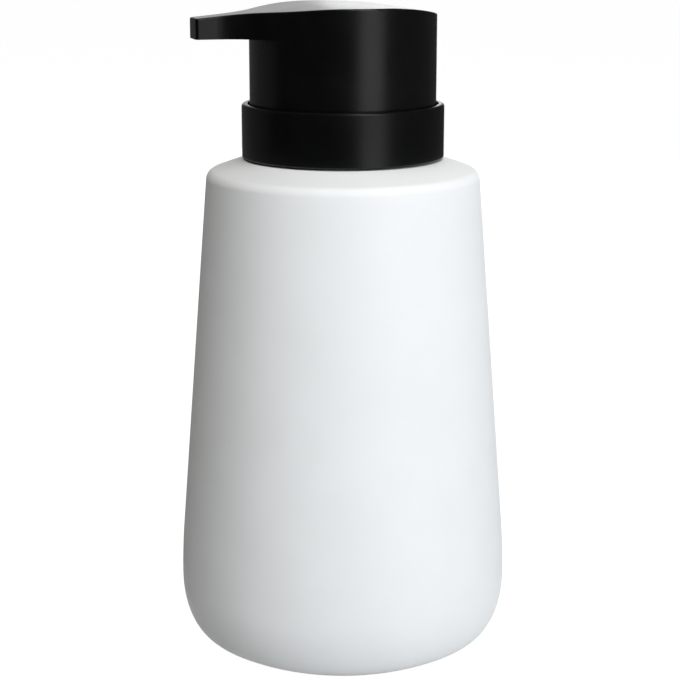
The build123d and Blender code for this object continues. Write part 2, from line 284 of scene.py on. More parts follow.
@dataclass(frozen=True)
class Bisque:
    """Unglazed stoneware of the foot ring, ground flat: warm, matte and sandy."""

    name: str = "bare_stoneware"
    pale: Colour = (0.74, 0.70, 0.63)
    grog: Colour = (0.52, 0.47, 0.40)
    speck_size: float = 0.5
    speck_band: Band = (0.52, 0.7)
    smooth: float = 0.82
    dull: float = 0.95
    patch_size: float = 1.5
    sand_size: float = 0.3
    sand_depth: float = 0.05

    def material(self) -> bpy.types.Material:
        """Build the bare clay.

        Returns:
            The material.
        """
        bench = NodeBench(self.name)
        specks = bench.noise(self.speck_size, detail=4)
        bench.paint(specks, self.pale, self.grog, self.speck_band)
        bench.roughen(bench.noise(self.patch_size), self.smooth, self.dull)
        sand = bench.noise(self.sand_size, detail=4)
        bench.wire("Normal", bench.bump(sand, self.sand_depth))
        bench.fix(Specular_IOR_Level=0.3)
        return bench.material


@dataclass(frozen=True)
class MouldedPlastic:
    """Injection-moulded plastic: spark-eroded grain, flow marks, and polish where it is touched."""

    name: str
    colour: Colour
    worn: Colour
    smooth: float
    dull: float
    grain: float = 0.16
    depth: float = 0.004
    shine: float = 0.5
    inner_glow: float = 0.0
    rubbed_size: float = 6.0
    rubbed_band: Band = (0.48, 0.72)
    patch_size: float = 9.0
    patch_band: Band = (0.32, 0.68)
    flow_size: float = 4.0

    def material(self) -> bpy.types.Material:
        """Build the plastic.

        Returns:
            The material.
        """
        bench = NodeBench(self.name)
        rubbed = bench.noise(self.rubbed_size, detail=5)
        bench.paint(rubbed, self.colour, self.worn, self.rubbed_band)
        patches = bench.noise(self.patch_size, detail=3)
        bench.roughen(patches, self.smooth, self.dull, self.patch_band)
        flow = bench.bump(bench.noise(self.flow_size, detail=1), self.depth)
        bench.wire("Normal", bench.bump(bench.noise(self.grain), self.depth, flow))
        bench.fix(IOR=1.5, Specular_IOR_Level=self.shine, Subsurface_Weight=self.inner_glow)
        if self.inner_glow:
            bench.fix(Subsurface_Radius=(1.0, 0.9, 0.8), Subsurface_Scale=0.0015)
        return bench.material


@dataclass(frozen=True)
class ClearTube:
    """Drawn polyethylene tube: milky and clear, with fine lines along its length."""

    name: str = "clear_polyethylene"
    colour: Colour = (0.86, 0.88, 0.88)
    cloudiness: float = 0.96
    clearness: float = 0.75
    line_width: float = 0.5
    line_stretch: Triple = (1, 1, 0.01)
    line_depth: float = 0.0008
    smooth: float = 0.24
    dull: float = 0.34

    def material(self) -> bpy.types.Material:
        """Build the tube's plastic.

        Returns:
            The material.
        """
        bench = NodeBench(self.name)
        drawn = bench.noise(self.line_width, detail=1, stretch=self.line_stretch)
        cloudy = tuple(self.cloudiness * part for part in self.colour)
        bench.paint(drawn, self.colour, cloudy)
        bench.roughen(drawn, self.smooth, self.dull)
        bench.wire("Normal", bench.bump(drawn, self.line_depth))
        bench.fix(IOR=1.5, Transmission_Weight=self.clearness)
        return bench.material


@dataclass(frozen=True)
class SoftSeal:
    """Silicone or closed-cell foam of a seal: matte, with a skin of fine cells."""

    name: str
    colour: Colour
    dark: Colour
    cell: float
    depth: float
    rough: float
    rough_spread: float = 0.06
    patch_size: float = 2.0
    blotch: float = 4.0  # size of a blotch of colour, in cells
    cell_share: float = 0.6  # radius of a cell's pit as a share of the cell

    def material(self) -> bpy.types.Material:
        """Build the seal's material.

        Returns:
            The material.
        """
        bench = NodeBench(self.name)
        bench.paint(bench.noise(self.cell * self.blotch, detail=3), self.dark, self.colour)
        smooth, dull = self.rough - self.rough_spread, self.rough + self.rough_spread
        bench.roughen(bench.noise(self.patch_size), smooth, dull)
        bench.wire("Normal", bench.bump(bench.pits(self.cell, self.cell_share), self.depth))
        bench.fix(Specular_IOR_Level=0.35)
        return bench.material


@dataclass(frozen=True)
class Steel:
    """Stainless steel wire or ball: drawn lines or lapping marks, and light water stains."""

    name: str
    smooth: float
    dull: float
    lines: Triple
    colour: Colour = (0.62, 0.61, 0.59)
    stained: Colour = (0.46, 0.44, 0.41)
    stain_size: float = 2.5
    stain_band: Band = (0.5, 0.8)
    mark_size: float = 0.12
    mark_depth: float = 0.002

    def material(self) -> bpy.types.Material:
        """Build the steel.

        Returns:
            The material.
        """
        bench = NodeBench(self.name)
        stain = bench.noise(self.stain_size, detail=4)
        bench.paint(stain, self.colour, self.stained, self.stain_band)
        marks = bench.noise(self.mark_size, stretch=self.lines)
        bench.roughen(marks, self.smooth, self.dull)
        bench.wire("Normal", bench.bump(marks, self.mark_depth))
        bench.fix(Metallic=1.0)
        return bench.material


GLAZE = CeramicGlaze()
BARE_CLAY = Bisque()
SATIN_BLACK = MouldedPlastic(
    "satin_black_plastic",
    colour=(0.0022, 0.0022, 0.0024),
    worn=(0.0034, 0.0034, 0.0036),
    smooth=0.27, dull=0.31, depth=0.0015,
)
COLLAR_BLACK = replace(SATIN_BLACK, name="collar_black_plastic", smooth=0.29, dull=0.33, shine=0.37)
PLAIN_BLACK = MouldedPlastic(
    "plain_black_plastic",
    colour=(0.009, 0.009, 0.009),
    worn=(0.016, 0.016, 0.016),
    smooth=0.28, dull=0.4, grain=0.4,
)
NATURAL = MouldedPlastic(
    "natural_polypropylene",
    colour=(0.78, 0.79, 0.77),
    worn=(0.70, 0.71, 0.69),
    smooth=0.3, dull=0.42, grain=0.5, depth=0.006, inner_glow=0.35,
)
PISTON_WHITE = MouldedPlastic(
    "piston_polyethylene",
    colour=(0.83, 0.84, 0.85),
    worn=(0.76, 0.78, 0.80),
    smooth=0.34, dull=0.46, grain=0.4,
)
TUBE = ClearTube()
SILICONE = SoftSeal(
    "silicone_seal", (0.75, 0.76, 0.76), (0.66, 0.67, 0.67), cell=0.5, depth=0.004, rough=0.45
)
FOAM = SoftSeal(
    "foam_gasket", (0.80, 0.80, 0.78), (0.70, 0.70, 0.68), cell=0.25, depth=0.03, rough=0.75
)
WIRE = Steel("spring_wire", smooth=0.18, dull=0.32, lines=(1, 1, 1))
BALL = Steel("valve_ball", smooth=0.05, dull=0.12, lines=(1, 1, 6))


# ---------------------------------------------------------------------------------------- meshes
def around(radius: float, angle: float, height: float) -> Triple:
    """Place a point round the Z axis.

    Args:
        radius: how far out it lies, mm.
        angle: how far round it lies, radians.
        height: how high it lies, mm.

    Returns:
        The point, m.
    """
    return (radius * math.cos(angle) * MM, radius * math.sin(angle) * MM, height * MM)


def rounded(corners: Sequence[Corner], steps: int = 6) -> list[Spot]:
    """Round the corners of an open line.

    Args:
        corners: (radius, height, rounding) of each corner, mm. Ends aren't rounded.
        steps: points on each rounding arc, less one.

    Returns:
        (radius, height) of each point of the rounded line, mm.
    """
    straight = math.radians(89.5)  # half the angle past which a corner counts as straight
    line = [Vector(corners[0][:2])]
    for before, here, after in zip(corners, corners[1:], corners[2:]):
        spot = Vector(here[:2])
        back = (Vector(before[:2]) - spot).normalized()
        ahead = (Vector(after[:2]) - spot).normalized()
        half = back.angle(ahead) / 2
        if here[2] <= 0 or half > straight:
            line.append(spot)
            continue
        reach = here[2] / math.tan(half)
        centre = spot + (back + ahead).normalized() * (here[2] / math.sin(half))
        first = spot + back * reach - centre
        last = spot + ahead * reach - centre
        sweep = first.angle(last)
        for step in range(steps + 1):
            share = step / steps
            arm = first * math.sin((1 - share) * sweep) + last * math.sin(share * sweep)
            line.append(centre + arm / math.sin(sweep))
    line.append(Vector(corners[-1][:2]))
    return [(spot.x, spot.y) for spot in line]


def revolved(name: str, line: Sequence[Spot], closed: bool) -> bpy.types.Object:
    """Turn a line round the Z axis.

    Args:
        name: name of the new object.
        line: (radius, height) of each point, mm.
        closed: whether the last point joins the first.

    Returns:
        The new object.
    """
    on_axis = 1e-6  # a smaller radius gives one point, mm
    angles = [2 * math.pi * step / TURN_STEPS for step in range(TURN_STEPS)]
    mesh = bmesh.new()
    rings = []
    for radius, height in line:
        if radius < on_axis:
            rings.append([mesh.verts.new((0, 0, height * MM))] * TURN_STEPS)
        else:
            rings.append([mesh.verts.new(around(radius, angle, height)) for angle in angles])
    pairs = list(zip(rings, rings[1:])) + ([(rings[-1], rings[0])] if closed else [])
    for lower, upper in pairs:
        for step in range(TURN_STEPS):
            following = (step + 1) % TURN_STEPS
            corners = (lower[step], lower[following], upper[following], upper[step])
            unique = list(dict.fromkeys(corners))
            if len(unique) > 2:
                mesh.faces.new(unique)
    return finished(name, mesh)


def skin(mesh: bmesh.types.BMesh, rows: Sequence[Sequence[bmesh.types.BMVert]]) -> None:
    """Cover a row of sections, each a closed loop of points, and close both ends.

    Args:
        mesh: the mesh that holds the points.
        rows: the points of each section, in order along the piece.
    """
    for row, following in zip(rows, rows[1:]):
        for here in range(len(row)):
            there = (here + 1) % len(row)
            mesh.faces.new((row[here], row[there], following[there], following[here]))
    mesh.faces.new(rows[0])
    mesh.faces.new(rows[-1])


def finished(name: str, mesh: bmesh.types.BMesh, sharp: float = 35.0) -> bpy.types.Object:
    """Merge a mesh's doubled points, shade it smooth with sharp edges, and put it in the scene.

    Args:
        name: name of the new object.
        mesh: the mesh that was built.
        sharp: edges that turn by more than this stay sharp, degrees.

    Returns:
        The new object.
    """
    bmesh.ops.remove_doubles(mesh, verts=mesh.verts, dist=1e-7)
    bmesh.ops.recalc_face_normals(mesh, faces=mesh.faces)
    data = bpy.data.meshes.new(name)
    mesh.to_mesh(data)
    mesh.free()
    data.shade_smooth()
    data.set_sharp_from_angle(angle=math.radians(sharp))
    piece = bpy.data.objects.new(name, data)
    bpy.context.scene.collection.objects.link(piece)
    return piece


def dress(piece: bpy.types.Object, *materials: bpy.types.Material) -> None:
    """Give a piece its materials in order, in place of any that it has.

    Args:
        piece: the object.
        materials: its materials.
    """
    while len(piece.material_slots) < len(materials):
        piece.data.materials.append(None)
    for slot, material in zip(piece.material_slots, materials):
        slot.material = material


def settle(piece: bpy.types.Object, body: Body, slot: str, *nodes: str) -> None:
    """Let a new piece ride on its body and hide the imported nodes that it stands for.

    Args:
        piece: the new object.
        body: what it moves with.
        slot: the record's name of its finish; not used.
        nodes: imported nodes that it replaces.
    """
    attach(piece, body.value)
    if nodes:
        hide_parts(*nodes)
    log.info("%s rides on %s with %d faces", piece.name, body.value, len(piece.data.polygons))


def carried(material: bpy.types.Material, *nodes: str) -> None:
    """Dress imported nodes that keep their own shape.

    Args:
        material: what they are made of.
        nodes: their names.
    """
    for node in nodes:
        dress(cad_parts[node], material)
        log.info("%s keeps its packed shape, in %s", node, material.name)


# ---------------------------------------------------------------------------------------- bottle
@dataclass
class CeramicBottle:
    """The slip-cast bottle, glazed all over except for the ground foot ring."""

    belly: float = 40.4
    corner_width: float = 7.0
    corner_height: float = 14.4
    corner_steps: int = 32
    foot: float = 24.8
    foot_round: float = 10.0
    foot_ring_width: float = 4.0
    foot_edge_round: float = 0.4
    recess: float = 1.0
    recess_round: float = 0.5
    heel_slope: float = 24.0
    heel_swell: float = 6.0  # how much steeper the heel is where its soft arc meets the corner
    heel_steps: int = 20
    foot_steps: int = 5  # first steps of the heel's arc, which the foot's rounding stands for
    taper_start: float = 31.0
    taper: float = 4.55
    taper_steps: int = 8
    wall_steps: int = 24
    shoulder_slope: float = 19.5
    shoulder_round: float = 2.6
    shoulder_steps: int = 12
    land_radius: float = 24.0
    land_height: float = 123.0
    land_round: float = 2.0
    land_edge: float = 1.0  # how far outside the seat the outer and inner lines meet
    seat_radius: float = 18.3
    seat_depth: float = 2.0
    seat_edge_round: float = 0.3
    seat_corner_round: float = 0.2
    mouth: float = 15.6
    mouth_round: float = 0.6
    wall: float = 4.5
    floor: float = 5.4
    inner_draw: float = 0.6  # how much the wall thickens where the taper starts
    inner_shoulder_round: float = 8.0
    inner_taper_round: float = 8.0
    inner_corner_round: float = 12.0
    inner_steps: int = 8
    bare_height: float = 0.35  # the glaze stops this far up the foot ring
    bare_margin: float = 2.0  # how far outside the foot's radius a face may still be bare

    def corner_turn(self, slope: float) -> float:
        """Give where the elliptical bottom corner has a slope.

        Args:
            slope: the slope above level, radians.

        Returns:
            The ellipse's own angle there, from straight down, radians.
        """
        across = self.corner_width * math.sin(slope)
        return math.atan2(across, self.corner_height * math.cos(slope))

    def corner_spot(self, turned: float, widest: float) -> Spot:
        """Give a point of the elliptical bottom corner.

        Args:
            turned: the ellipse's own angle there, radians.
            widest: height at which the bottle is widest, mm.

        Returns:
            Its radius and height, mm.
        """
        radius = self.belly - self.corner_width * (1 - math.sin(turned))
        return (radius, widest - self.corner_height * math.cos(turned))

    def widest_height(self) -> float:
        """Give the height of the belly, from where a straight heel would meet the corner.

        Returns:
            The height at which the bottle is widest, mm.
        """
        heel = math.radians(self.heel_slope)
        heel_radius, below = self.corner_spot(self.corner_turn(heel), 0)
        return (heel_radius - self.foot) * math.tan(heel) - below

    def underside(self, steep: float, widest: float) -> list[Spot]:
        """Give the line from the middle of the underside over the foot ring and up the heel.

        Args:
            steep: slope of the heel where it meets the bottom corner, radians.
            widest: height at which the bottle is widest, mm.

        Returns:
            (radius, height) of each point, mm.
        """
        end_radius, rise = self.corner_spot(self.corner_turn(steep), widest)
        across = end_radius - self.foot
        gentle = 2 * math.atan2(rise, across) - steep
        bend = math.hypot(across, rise) / (2 * math.sin((steep - gentle) / 2))
        arc = []
        for step in range(self.foot_steps, self.heel_steps + 1):
            slope = gentle + (steep - gentle) * step / self.heel_steps
            out = self.foot + bend * (math.sin(slope) - math.sin(gentle))
            arc.append((out, bend * (math.cos(gentle) - math.cos(slope))))
        ring = self.foot - self.foot_ring_width
        corners = (
            (0, self.recess, 0),
            (ring, self.recess, self.recess_round),
            (ring + self.recess, 0, self.foot_edge_round),
            (self.foot, 0, self.foot_round),
            (*arc[0], 0),
        )
        return rounded(corners) + arc[1:]

    def wall_and_shoulder(self, widest: float) -> list[Spot]:
        """Give the line from the belly up the tapering wall and over the shoulder to the land.

        Args:
            widest: height at which the bottle is widest, mm.

        Returns:
            (radius, height) of each point, mm.
        """
        taper = math.radians(self.taper)
        slant = math.tan(taper)
        bend = (self.taper_start - widest) / math.sin(taper)
        line = []
        for step in range(1, self.taper_steps + 1):
            angle = taper * step / self.taper_steps
            radius = self.belly - bend * (1 - math.cos(angle))
            line.append((radius, widest + bend * math.sin(angle)))
        start_radius, start_height = line[-1]
        run = 1 / math.tan(math.radians(self.shoulder_slope))
        reach = self.land_radius + self.land_height * run - start_radius
        top = (reach - self.taper_start * slant) / (run - slant)
        corners = (
            (start_radius, start_height, 0),
            (start_radius - (top - self.taper_start) * slant, top, self.shoulder_round),
            (self.land_radius, self.land_height, self.land_round),
            (self.seat_radius + self.land_edge, self.land_height, 0),
        )
        shoulder = rounded(corners, self.shoulder_steps)
        tall = shoulder[1][1] - start_height
        for step in range(1, self.wall_steps):
            up = tall * step / self.wall_steps
            line.append((start_radius - up * slant, start_height + up))
        return line + shoulder[1:]

    def outside(self) -> list[Spot]:
        """Give the outer line from the middle of the underside up to the land round the mouth.

        Returns:
            (radius, height) of each point, mm.
        """
        steep = math.radians(self.heel_slope) + math.radians(self.heel_swell)
        widest = self.widest_height()
        line = self.underside(steep, widest)
        turned = self.corner_turn(steep)
        for step in range(1, self.corner_steps + 1):
            angle = turned + (math.pi / 2 - turned) * step / self.corner_steps
            line.append(self.corner_spot(angle, widest))
        return line + self.wall_and_shoulder(widest)

    def inside(self) -> list[Spot]:
        """Give the inner line from the seat round the mouth down to the middle of the floor.

        Returns:
            (radius, height) of each point, mm.
        """
        wall_radius = self.belly - self.inner_draw - self.wall
        seat = self.land_height - self.seat_depth
        ceiling = seat - self.wall
        slant = math.tan(math.radians(self.taper))
        shoulder_radius = wall_radius - (ceiling - self.taper_start) * slant
        corners = (
            (self.seat_radius + self.land_edge, self.land_height, 0),
            (self.seat_radius, self.land_height, self.seat_edge_round),
            (self.seat_radius, seat, self.seat_corner_round),
            (self.mouth, seat, self.mouth_round),
            (self.mouth, ceiling, 0),
            (shoulder_radius, ceiling, self.inner_shoulder_round),
            (wall_radius, self.taper_start, self.inner_taper_round),
            (self.belly - self.wall, self.floor, self.inner_corner_round),
            (0, self.floor, 0),
        )
        return rounded(corners, self.inner_steps)[1:]

    def build(self) -> None:
        """Make the bottle and dress it, bare on the foot ring and glazed elsewhere."""
        piece = revolved("ceramic_bottle", self.outside() + self.inside(), closed=False)
        dress(piece, GLAZE.material(), BARE_CLAY.material())
        inner, outer = self.foot - self.foot_ring_width, self.foot + self.bare_margin
        for face in piece.data.polygons:
            reach = Vector(face.center[:2]).length / MM
            if face.center.z < self.bare_height * MM and inner < reach < outer:
                face.material_index = 1
        settle(piece, Body.BOTTLE, "white_glaze", "bottle")


# ------------------------------------------------------------------------------------ neck, pump
@dataclass(frozen=True)
class ScrewRidge:
    """The ridge of a screw thread, which dies away into its wall at both ends."""

    name: str
    side: Turn
    root: float  # radius of the wall it stands on
    crest: float  # radius of its flat crest
    pitch: float
    width: float  # at the root
    start: float  # height of its lower end
    turns: float
    lead: float  # where it starts, degrees
    steps_a_turn: int = 96
    fade_steps: int = 10
    buried: float = 0.12  # how far it reaches into its wall
    thinnest: float = 0.04  # share of the full ridge that is left at its ends
    lower_flank: float = 0.28  # rise of the lower flank as a share of the width
    upper_flank: float = 0.22

    def section(self, share: float) -> tuple[Spot, ...]:
        """Give the ridge's section where it stands at a share of its full height.

        Args:
            share: 1 for the full ridge.

        Returns:
            Radius, and height above the ridge's middle, of each point, mm.
        """
        foot = self.root - self.side.value * self.buried
        tip = self.root + (self.crest - self.root) * share
        half = self.width / 2
        return (
            (foot, -half),
            (self.root, -half),
            (tip, -half + self.lower_flank * self.width * share),
            (tip, half - self.upper_flank * self.width * share),
            (self.root, half),
            (foot, half),
        )

    def build(self) -> bpy.types.Object:
        """Wind the ridge.

        Returns:
            The new object.
        """
        mesh = bmesh.new()
        steps = int(self.steps_a_turn * self.turns)
        rows = []
        for step in range(steps + 1):
            angle = math.radians(self.lead) + 2 * math.pi * self.turns * step / steps
            height = self.start + self.pitch * self.turns * step / steps
            share = min(1.0, step / self.fade_steps, (steps - step) / self.fade_steps)
            share = self.thinnest + (1 - self.thinnest) * share * share * (3 - 2 * share)
            spots = self.section(share)
            rows.append([mesh.verts.new(around(r, angle, height + z)) for r, z in spots])
        skin(mesh, rows)
        return finished(self.name, mesh, sharp=25)


@dataclass
class ScrewNeck:
    """The glued-in plastic neck, its seal, and the closure that screws on to it."""

    neck_radius: float = 12.9
    closure_radius: float = 14.05
    pitch: float = 4.2
    ridge: float = 0.85
    width: float = 1.8
    start: float = 125.0
    turns: float = 1.3
    play: float = 0.1  # how much higher the closure's ridge starts
    neck_lead: float = 20.0
    closure_lead: float = 200.0

    def threads(self) -> tuple[bpy.types.Object, bpy.types.Object]:
        """Wind both threads.

        Returns:
            The neck's ridge and the closure's ridge.
        """
        neck = ScrewRidge(
            "neck_thread",
            Turn.OUTWARD,
            root=self.neck_radius,
            crest=self.neck_radius + self.ridge,
            pitch=self.pitch,
            width=self.width,
            start=self.start,
            turns=self.turns,
            lead=self.neck_lead,
        )
        closure = replace(
            neck,
            name="closure_thread",
            side=Turn.INWARD,
            root=self.closure_radius,
            crest=self.closure_radius - self.ridge,
            start=self.start + self.play,
            lead=self.closure_lead,
        )
        return neck.build(), closure.build()

    def build(self) -> None:
        """Make the two threads and dress the neck, seal and closure."""
        black = PLAIN_BLACK.material()
        carried(black, "neck_insert", "threaded_closure")
        carried(SILICONE.material(), "insert_seal_ring")
        neck, closure = self.threads()
        dress(neck, black)
        settle(neck, Body.BOTTLE, "black_moulded")
        dress(closure, black)
        settle(closure, Body.COLLAR, "black_moulded")


@dataclass
class PumpEngine:
    """The pump under the collar: housing, guide, valve, spring, piston, stem and dip tube."""

    coil_radius: float = 5.3
    wire_radius: float = 0.45
    wire_sides: int = 12
    low: float = 92.4
    high: float = 112.6
    turns: float = 7.0
    steps_a_turn: int = 40
    closed_rise: float = 1.04  # rise of the closed end turns, in wire thicknesses
    stroke: float = 9.0
    moulded: tuple[str, ...] = (
        "pump_housing", "stem_guide", "ball_cage", "stem", "stem_valve_plug"
    )

    def spring(self) -> bpy.types.Object:
        """Coil the return spring, with a closed turn at each end.

        Returns:
            The spring.
        """
        mesh = bmesh.new()
        steps = int(self.turns * self.steps_a_turn)
        free = self.high - self.low - 2 * self.wire_radius
        closed = 2 * self.wire_radius * self.closed_rise
        pitch = (free - 2 * closed) / (self.turns - 2)
        rows = []
        height = self.low + self.wire_radius
        for step in range(steps + 1):
            turn = self.turns * step / steps
            angle = 2 * math.pi * turn
            out = Vector((math.cos(angle), math.sin(angle), 0))
            centre = out * self.coil_radius + Vector((0, 0, height))
            row = []
            for side in range(self.wire_sides):
                lean = 2 * math.pi * side / self.wire_sides
                arm = out * math.cos(lean) + Vector((0, 0, math.sin(lean)))
                row.append(mesh.verts.new((centre + self.wire_radius * arm) * MM))
            rows.append(row)
            rise = closed if turn < 1 or turn >= self.turns - 1 else pitch
            height += rise * self.turns / steps
        skin(mesh, rows)
        return finished("spring_coil", mesh, sharp=60)

    def build(self) -> None:
        """Make the spring and dress the rest of the pump."""
        carried(NATURAL.material(), *self.moulded)
        carried(PISTON_WHITE.material(), "piston")
        carried(TUBE.material(), "dip_tube")
        carried(FOAM.material(), "housing_gasket")
        carried(BALL.material(), "inlet_ball")
        spring = self.spring()
        dress(spring, WIRE.material())
        settle(spring, Body.PUMP, "spring_steel", "return_spring")
        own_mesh(spring)


# ---------------------------------------------------------------------------------- collar, head
@dataclass
class Collar:
    """The satin black ring round the closure, with its web, sleeve and gussets."""

    radius: float = 24.25
    wall: float = 1.4
    low: float = 123.4
    high: float = 136.2
    foot_round: float = 0.35
    top_round: float = 0.8
    edge_round: float = 0.15
    web_low: float = 123.8
    web_high: float = 125.0
    web_round: float = 0.3
    bore: float = 16.05
    sleeve_radius: float = 17.35
    sleeve_high: float = 133.0
    gusset_count: int = 8
    gusset_width: float = 2.4
    gusset_thickness: float = 1.0
    gusset_height: float = 4.0
    gusset_overlap: float = 0.2  # how far a gusset reaches into the sleeve and the web
    seam_depth: float = 1.0  # how far under the lip the turned line closes

    def ring(self) -> bpy.types.Object:
        """Turn the shell, its web and the sleeve in one piece.

        Returns:
            The ring.
        """
        inner = self.radius - self.wall
        corners = (
            (inner, self.sleeve_high, 0),
            (inner, self.web_high, self.web_round),
            (self.sleeve_radius, self.web_high, self.web_round),
            (self.sleeve_radius, self.sleeve_high, self.edge_round),
            (self.bore, self.sleeve_high, self.edge_round),
            (self.bore, self.web_low, self.edge_round),
            (inner, self.web_low, 0),
            (inner, self.low, self.edge_round),
            (self.radius, self.low, self.foot_round),
            (self.radius, self.high, self.top_round),
            (inner, self.high, self.edge_round),
            (inner, self.high - self.seam_depth, 0),
        )
        return revolved("collar_ring", rounded(corners), closed=True)

    def gussets(self) -> bpy.types.Object:
        """Stand the small gussets on the web, round the sleeve.

        Returns:
            The gussets.
        """
        mesh = bmesh.new()
        over = self.gusset_overlap
        size = Vector(
            (self.gusset_width + 2 * over, self.gusset_thickness, self.gusset_height + 2 * over)
        )
        out = self.sleeve_radius + self.gusset_width / 2 - over
        middle = Vector((out, 0, self.web_high + self.gusset_height / 2 - over))
        for step in range(self.gusset_count):
            turn = Matrix.Rotation(2 * math.pi * step / self.gusset_count, 4, "Z")
            place = turn @ Matrix.Translation(middle * MM) @ Matrix.Diagonal((*(size * MM), 1))
            bmesh.ops.create_cube(mesh, size=1, matrix=place)
        return finished("collar_gussets", mesh)

    def build(self) -> None:
        """Make the collar and dress it."""
        satin = COLLAR_BLACK.material()
        ring = self.ring()
        dress(ring, satin)
        settle(ring, Body.COLLAR, "black_satin", "collar_shell")
        gussets = self.gussets()
        dress(gussets, satin)
        settle(gussets, Body.COLLAR, "black_satin")


@dataclass
class PumpHead:
    """The wide cylindrical head and its thin spout, with the channel and outlet inside."""

    outer: tuple[str, ...] = ("head_shell", "spout_floor")
    inner: tuple[str, ...] = ("head_core", "outlet_nozzle")

    def build(self) -> None:
        """Dress the head in satin black outside and plain black inside."""
        carried(SATIN_BLACK.material(), *self.outer)
        carried(PLAIN_BLACK.material(), *self.inner)


# ---------------------------------------------------------------------------------------- studio
def emptied(owner: bpy.types.Material | bpy.types.World) -> bpy.types.NodeTree:
    """Give a material or a world a node tree with nothing in it.

    Args:
        owner: the material or world.

    Returns:
        Its node tree.
    """
    owner.use_nodes = True
    owner.node_tree.nodes.clear()
    return owner.node_tree


@dataclass(frozen=True)
class SoftBox:
    """A soft rectangular lamp that the dispenser doesn't mirror, with its sizes in metres."""

    name: str
    azimuth: float  # to the right of the camera, degrees
    elevation: float  # above level, degrees
    distance: float
    width: float
    height: float
    watts: float
    colour: Colour = (1.0, 1.0, 1.0)

    def build(self, aim: Vector, camera_turn: float) -> None:
        """Hang the lamp.

        Args:
            aim: the point it faces, m.
            camera_turn: where the camera stands round the dispenser, degrees.
        """
        data = bpy.data.lights.new(self.name, "AREA")
        data.shape = "RECTANGLE"
        data.size, data.size_y = self.width, self.height
        data.energy = self.watts
        data.color = self.colour
        lamp = bpy.data.objects.new(self.name, data)
        bpy.context.scene.collection.objects.link(lamp)
        turn = math.radians(camera_turn + self.azimuth)
        up = math.radians(self.elevation)
        away = Vector(
            (math.sin(turn) * math.cos(up), -math.cos(turn) * math.cos(up), math.sin(up))
        )
        lamp.location = aim + away * self.distance
        lamp.rotation_euler = (-away).to_track_quat("-Z", "Y").to_euler()
        lamp.visible_camera = False
        lamp.visible_glossy = False


@dataclass(frozen=True)
class Card:
    """A curved card round the dispenser, which only reflections see, with sizes in metres."""

    name: str
    start: float  # to the right of the camera, degrees
    end: float
    glow: float
    line: tuple[Spot, ...]  # radius and height along it
    step_angle: float = 4.0  # degrees
    fewest_steps: int = 4

    def build(self, camera_turn: float) -> None:
        """Stand the card.

        Args:
            camera_turn: where the camera stands round the dispenser, degrees.
        """
        mesh = bmesh.new()
        steps = max(self.fewest_steps, int(abs(self.end - self.start) / self.step_angle))
        rows = []
        for step in range(steps + 1):
            turned = camera_turn + self.start + (self.end - self.start) * step / steps
            across, ahead = math.sin(math.radians(turned)), -math.cos(math.radians(turned))
            rows.append([mesh.verts.new((r * across, r * ahead, z)) for r, z in self.line])
        for row, following in zip(rows, rows[1:]):
            for here in range(len(row) - 1):
                mesh.faces.new((row[here], following[here], following[here + 1], row[here + 1]))
        card = finished(self.name, mesh)
        material = bpy.data.materials.new(self.name)
        tree = emptied(material)
        light = tree.nodes.new("ShaderNodeEmission")
        light.inputs["Strength"].default_value = self.glow
        out = tree.nodes.new("ShaderNodeOutputMaterial")
        tree.links.new(light.outputs[0], out.inputs["Surface"])
        dress(card, material)
        card.visible_camera = card.visible_diffuse = False
        card.visible_shadow = card.visible_transmission = False


